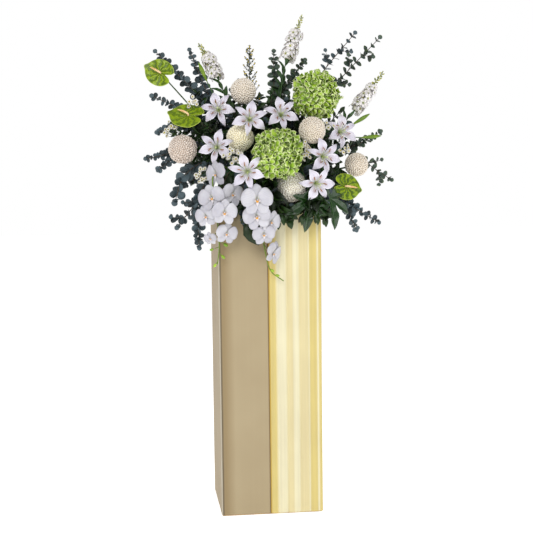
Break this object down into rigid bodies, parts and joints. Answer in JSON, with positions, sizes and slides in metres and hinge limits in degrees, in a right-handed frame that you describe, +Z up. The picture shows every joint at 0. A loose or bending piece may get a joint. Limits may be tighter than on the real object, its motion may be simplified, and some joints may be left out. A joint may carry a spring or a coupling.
{
  "type": "standing funeral spray",
  "caption": "Cloth-covered square plinth topped by a one-sided spray of green hydrangeas, cream chrysanthemums, white lilies, hanging orchids, anthuriums and eucalyptus in floral foam.",
  "frame": {"origin": "on the floor, under the centre of the plinth's base board", "axes": "+Z up along the plinth, -Y towards the front that the flowers face, +X to the viewer's right"},
  "size_m": [0.8136, 0.5198, 1.6059],
  "materials": {
    "wood": "matte",
    "tan_cloth": "matte",
    "gold_cloth": "satin",
    "tray": "matte",
    "foam": "matte",
    "cream_petal": "matte",
    "hydrangea_petal": "matte",
    "lily_petal": "satin",
    "lily_green": "satin",
    "orchid_petal": "satin",
    "anthurium_spathe": "gloss",
    "spadix": "matte",
    "stock_petal": "matte",
    "eucalyptus_leaf": "matte",
    "fatsia_leaf": "satin",
    "daisy_petal": "matte",
    "filler_green": "matte"
  },
  "bodies": {
    "root": {"base_board": "wood", "top_board": "wood", "plinth_walls": "wood", "tan_cloth": "tan_cloth", "gold_cloth": "gold_cloth", "flower_tray": "tray", "floral_foam": "foam", "mum_1": "cream_petal", "mum_2": "cream_petal", "mum_3": "cream_petal", "mum_4": "cream_petal", "mum_5": "cream_petal", "mum_6": "cream_petal", "hydrangea_1": "hydrangea_petal", "hydrangea_2": "hydrangea_petal", "anthurium_1": "anthurium_spathe", "anthurium_1_spadix": "spadix", "anthurium_2": "anthurium_spathe", "anthurium_2_spadix": "spadix", "anthurium_3": "anthurium_spathe", "anthurium_3_spadix": "spadix", "lily_1": "lily_petal", "lily_2": "lily_petal", "lily_3": "lily_petal", "lily_4": "lily_petal", "lily_5": "lily_petal", "lily_6": "lily_petal", "lily_7": "lily_petal", "lily_8": "lily_petal", "orchid_1": "orchid_petal", "orchid_2": "orchid_petal", "lily_stem_1": "lily_green", "lily_stem_2": "lily_green", "lily_stem_3": "lily_green", "lily_stem_4": "lily_green", "lily_stem_5": "lily_green", "stock_1": "stock_petal", "stock_2": "stock_petal", "stock_3": "stock_petal", "eucalyptus_1": "eucalyptus_leaf", "eucalyptus_2": "eucalyptus_leaf", "eucalyptus_3": "eucalyptus_leaf", "eucalyptus_4": "eucalyptus_leaf", "eucalyptus_5": "eucalyptus_leaf", "eucalyptus_6": "eucalyptus_leaf", "eucalyptus_7": "eucalyptus_leaf", "eucalyptus_8": "eucalyptus_leaf", "eucalyptus_9": "eucalyptus_leaf", "eucalyptus_10": "eucalyptus_leaf", "eucalyptus_11": "eucalyptus_leaf", "eucalyptus_12": "eucalyptus_leaf", "fatsia_leaves_1": "fatsia_leaf", "fatsia_leaves_2": "fatsia_leaf", "fatsia_leaves_3": "fatsia_leaf", "fatsia_leaves_4": "fatsia_leaf", "fatsia_leaves_5": "fatsia_leaf", "daisy_spray_1": "daisy_petal", "daisy_spray_2": "daisy_petal", "daisy_spray_3": "daisy_petal", "filler_spray": "filler_green"}
  },
  "joints": []
}
